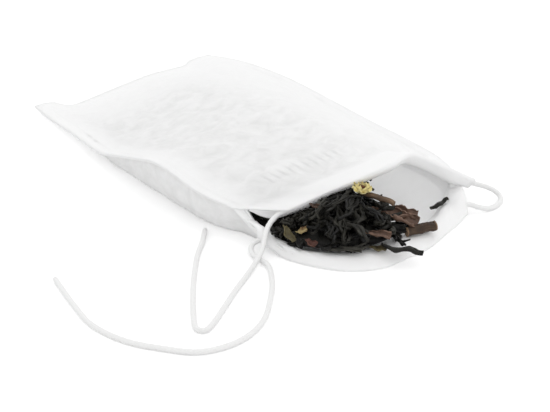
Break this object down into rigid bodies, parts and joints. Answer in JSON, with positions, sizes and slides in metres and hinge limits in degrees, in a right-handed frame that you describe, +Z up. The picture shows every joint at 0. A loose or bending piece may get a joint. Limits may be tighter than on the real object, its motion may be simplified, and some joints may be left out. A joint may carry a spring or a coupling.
{
  "type": "tea bag",
  "caption": "Drawstring tea filter bag of white non-woven fabric lying on its side, mouth open over loose black tea, with the string trailing from one corner of the mouth",
  "frame": {"origin": "under the middle of the pouch, on the surface it lies on", "axes": "+X along the pouch from the closed end to the mouth, +Z up, near side seam with the string's exit at -Y"},
  "size_m": [0.1237, 0.1048, 0.0164],
  "materials": {
    "nonwoven_fabric": "thin white non-woven sheet",
    "cotton_string": "soft white cotton string",
    "black_tea": "dry, dull, curled leaf",
    "brown_leaf": "dry leaf and stalk",
    "olive_leaf": "dry leaf",
    "yellow_petal": "dry petal"
  },
  "bodies": {
    "root": {"bed_leaf": "black_tea", "big_leaf": "brown_leaf", "brown_chip": "brown_leaf", "brown_scrap": "brown_leaf", "curled_leaf_01": "black_tea", "curled_leaf_02": "black_tea", "curled_leaf_03": "black_tea", "curled_leaf_04": "black_tea", "curled_leaf_05": "black_tea", "curled_leaf_06": "black_tea", "curled_leaf_07": "black_tea", "curled_leaf_08": "black_tea", "curled_leaf_09": "black_tea", "curled_leaf_10": "black_tea", "curled_leaf_11": "black_tea", "curled_leaf_12": "black_tea", "curled_leaf_13": "black_tea", "curled_leaf_14": "black_tea", "curled_leaf_15": "black_tea", "curled_leaf_16": "black_tea", "curled_leaf_17": "black_tea", "curled_leaf_18": "black_tea", "curled_leaf_19": "black_tea", "curled_leaf_20": "black_tea", "curled_leaf_21": "black_tea", "curled_leaf_22": "black_tea", "curled_leaf_23": "black_tea", "curled_leaf_24": "black_tea", "curled_leaf_25": "black_tea", "curled_leaf_26": "black_tea", "curled_leaf_27": "black_tea", "curled_leaf_28": "black_tea", "curled_leaf_29": "black_tea", "curled_leaf_30": "black_tea", "cut_twig": "brown_leaf", "drawstring": "cotton_string", "filter_pouch": "nonwoven_fabric", "flower_bud": "yellow_petal", "flower_petal": "yellow_petal", "lip_leaf": "black_tea", "long_leaf": "black_tea", "olive_leaf": "olive_leaf", "olive_strip": "olive_leaf", "russet_leaf": "brown_leaf", "stem": "brown_leaf", "tea_heap": "black_tea"}
  },
  "joints": []
}
